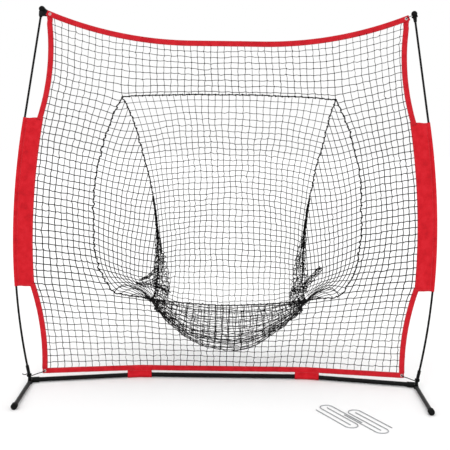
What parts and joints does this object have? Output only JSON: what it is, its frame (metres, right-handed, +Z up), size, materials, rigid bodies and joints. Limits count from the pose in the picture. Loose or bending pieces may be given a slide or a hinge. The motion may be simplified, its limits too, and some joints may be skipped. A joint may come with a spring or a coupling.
{
  "type": "sports practice net",
  "caption": "Bow-framed practice net with red borders and a deep black catching pocket, on a black three-piece base with folding legs; loose wire ground pegs lie beside it.",
  "frame": {"origin": "on the floor, at the middle of the part's own box from side to side and from front to back", "axes": "+X to the right along the base as seen from the front, +Y to the back, where the pocket hangs, +Z up"},
  "size_m": [2.3922, 1.3535, 2.1193],
  "materials": {
    "black_powder_coat": "gloss powder coat",
    "zinc_plate": "zinc plated, satin",
    "black_fibreglass": "smooth, slightly glossy",
    "black_rubber": "matt",
    "red_webbing": "woven webbing",
    "red_pack_cloth": "coated pack cloth",
    "black_webbing": "woven webbing",
    "black_cord": "braided cord",
    "knotted_netting": "knotted mesh",
    "galvanised_wire": "galvanised, satin"
  },
  "bodies": {
    "net_and_frame": {"base_center_tube": "black_powder_coat", "base_arm_left": "black_powder_coat", "base_arm_right": "black_powder_coat", "base_elbow_left": "zinc_plate", "base_elbow_right": "zinc_plate", "hub_left": "black_powder_coat", "hub_right": "black_powder_coat", "hub_rivets": "zinc_plate", "pivot_bolts": "zinc_plate", "pivot_nuts": "zinc_plate", "pole_lower_left": "black_fibreglass", "pole_lower_right": "black_fibreglass", "pole_middle_left": "black_fibreglass", "pole_middle_right": "black_fibreglass", "pole_upper_left": "black_fibreglass", "pole_upper_right": "black_fibreglass", "pole_ferrules_left": "zinc_plate", "pole_ferrules_right": "zinc_plate", "pole_ball_left": "black_rubber", "pole_ball_right": "black_rubber", "border_top": "red_webbing", "border_bottom": "red_webbing", "border_upper_left": "red_webbing", "border_upper_right": "red_webbing", "border_lower_left": "red_webbing", "border_lower_right": "red_webbing", "sleeve_panel_left": "red_pack_cloth", "sleeve_panel_right": "red_pack_cloth", "base_wrap_left": "red_webbing", "base_wrap_right": "red_webbing", "corner_grommets": "zinc_plate", "corner_tab_top_left": "black_webbing", "corner_cord_top_right": "black_cord", "corner_cord_bottom_left": "black_cord", "corner_cord_bottom_right": "black_cord", "net_upper": "knotted_netting", "net_lower": "knotted_netting", "net_left": "knotted_netting", "net_right": "knotted_netting", "mouth_cord": "black_cord", "pocket_back": "knotted_netting", "pocket_bag": "knotted_netting", "pocket_side_left": "knotted_netting", "pocket_side_right": "knotted_netting", "pocket_seam_left": "black_cord", "pocket_seam_right": "black_cord"},
    "left_leg": {"leg_left": "black_powder_coat", "foot_cap_left": "black_rubber"},
    "right_leg": {"leg_right": "black_powder_coat", "foot_cap_right": "black_rubber"},
    "peg_1": {"ground_peg_1": "galvanised_wire"},
    "peg_2": {"ground_peg_2": "galvanised_wire"},
    "peg_3": {"ground_peg_3": "galvanised_wire"},
    "peg_4": {"ground_peg_4": "galvanised_wire"}
  },
  "joints": [
    {"name": "left_leg_fold", "type": "hinge", "parent": "net_and_frame", "child": "left_leg", "pos_m": [-1.08721, -0.01572, 0.016], "axis": [0, 0, 1], "range_deg": [0, 95]},
    {"name": "right_leg_fold", "type": "hinge", "parent": "net_and_frame", "child": "right_leg", "pos_m": [1.08721, -0.01572, 0.016], "axis": [0, 0, -1], "range_deg": [0, 95]},
    {"name": "peg_1_lift", "type": "slide", "parent": "net_and_frame", "child": "peg_1", "axis": [0, 0, 1], "range_m": [0, 0.3]},
    {"name": "peg_2_lift", "type": "slide", "parent": "net_and_frame", "child": "peg_2", "axis": [0, 0, 1], "range_m": [0, 0.3]},
    {"name": "peg_3_lift", "type": "slide", "parent": "net_and_frame", "child": "peg_3", "axis": [0, 0, 1], "range_m": [0, 0.3]},
    {"name": "peg_4_lift", "type": "slide", "parent": "net_and_frame", "child": "peg_4", "axis": [0, 0, 1], "range_m": [0, 0.3]}
  ]
}
